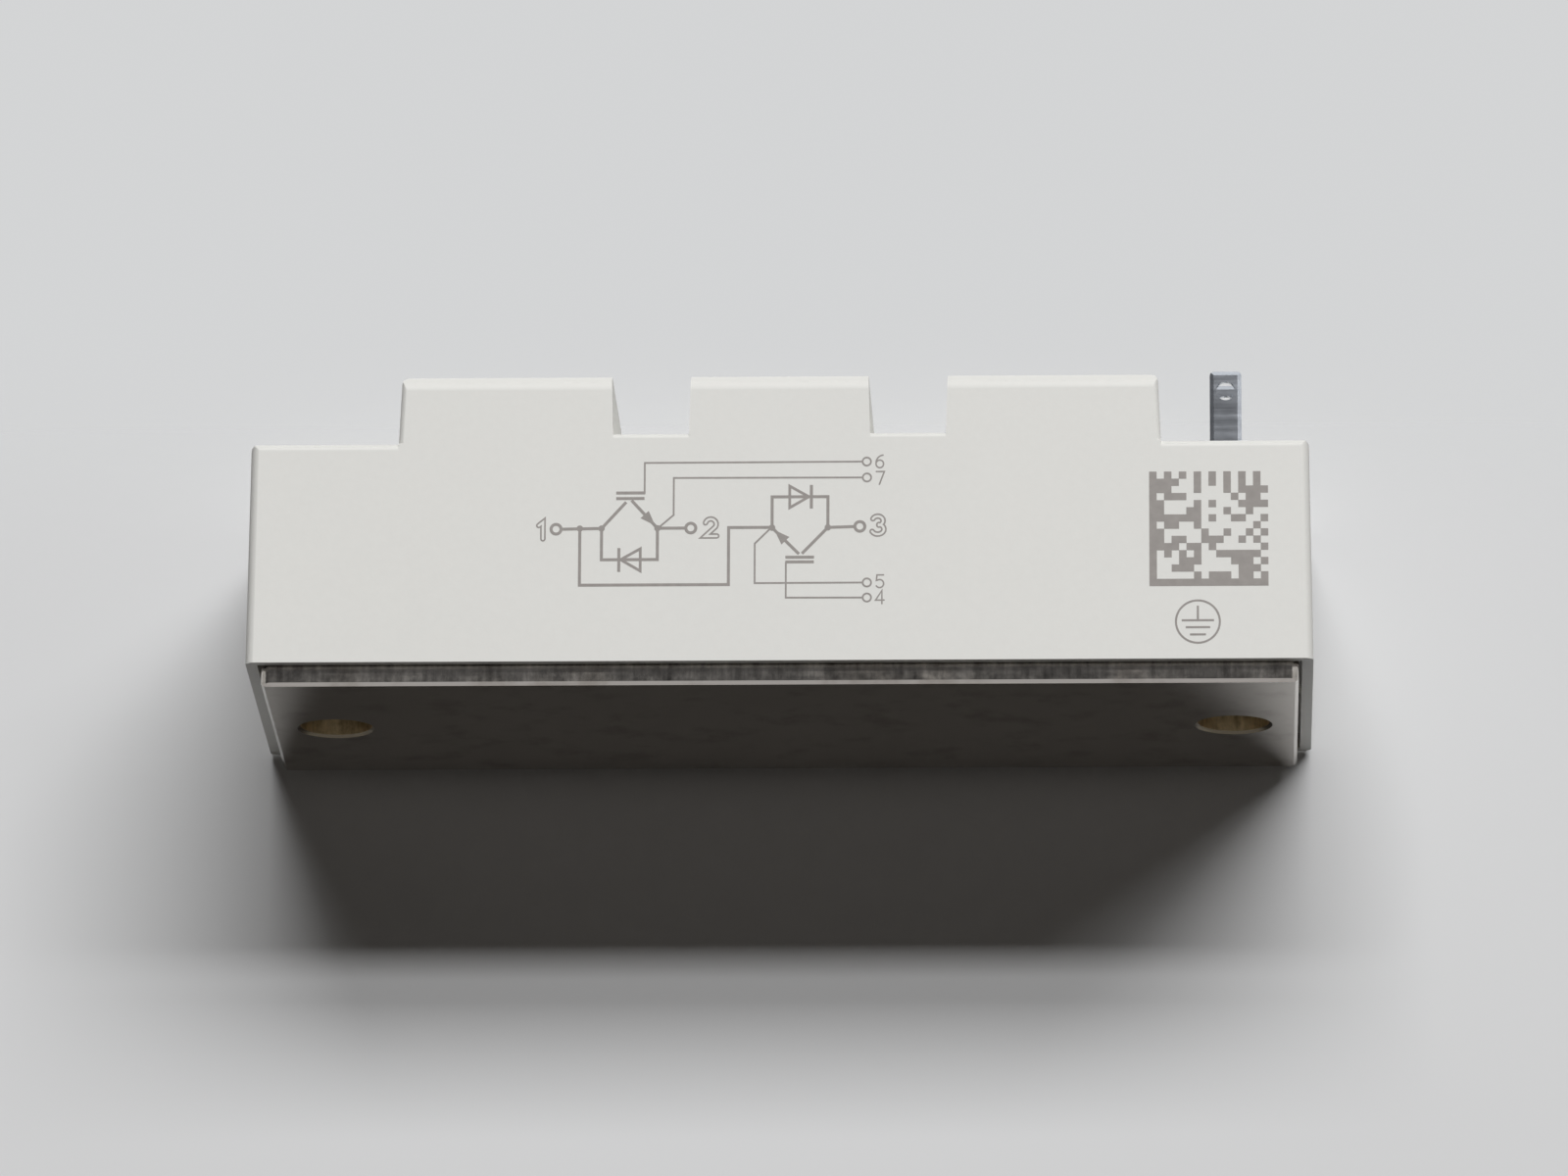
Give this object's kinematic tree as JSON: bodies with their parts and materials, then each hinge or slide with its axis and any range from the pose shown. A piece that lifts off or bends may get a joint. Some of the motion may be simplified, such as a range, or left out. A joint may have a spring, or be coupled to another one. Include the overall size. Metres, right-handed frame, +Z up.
{
  "type": "half-bridge power transistor module",
  "caption": "Half-bridge power transistor module in an ivory plastic case with a nickel-plated base plate, screw terminals and plug-on signal tabs.",
  "frame": {"origin": "centre of the base plate's mounting face", "axes": "+Z up from the base plate to the screw terminals, X along the case with the signal tabs at +X, -Y towards the printed long side"},
  "size_m": [0.094, 0.034, 0.0305],
  "materials": {
    "case_plastic": "fine matt moulded, ivory",
    "base_nickel": "satin nickel plating over copper",
    "adhesive": "cured glue",
    "gel": "clear soft gel",
    "terminal_nickel": "nickel-plated copper sheet",
    "nut_steel": "zinc-plated steel",
    "tab_tin": "bright tin plating",
    "copper": "bare copper",
    "solder": "reflowed solder",
    "ceramic": "white alumina",
    "chip": "polished silicon",
    "wire_aluminium": "drawn aluminium wire"
  },
  "bodies": {
    "root": {"housing": "case_plastic", "base_plate": "base_nickel", "adhesive_bead": "adhesive", "silicone_gel": "gel", "terminal_1": "terminal_nickel", "terminal_2": "terminal_nickel", "terminal_3": "terminal_nickel", "terminal_nuts": "nut_steel", "tab_4": "tab_tin", "tab_5": "tab_tin", "tab_6": "tab_tin", "tab_7": "tab_tin", "midpoint_link": "copper", "plate_solder_low_side": "solder", "lower_copper_low_side": "copper", "ceramic_low_side": "ceramic", "collector_track_low_side": "copper", "emitter_track_low_side": "copper", "gate_track_low_side": "copper", "chip_solder_low_side": "solder", "igbt_chip_low_side": "chip", "diode_chip_low_side": "chip", "bond_wires_low_side": "wire_aluminium", "plate_solder_high_side": "solder", "lower_copper_high_side": "copper", "ceramic_high_side": "ceramic", "collector_track_high_side": "copper", "emitter_track_high_side": "copper", "gate_track_high_side": "copper", "chip_solder_high_side": "solder", "igbt_chip_high_side": "chip", "diode_chip_high_side": "chip", "bond_wires_high_side": "wire_aluminium"}
  },
  "joints": []
}
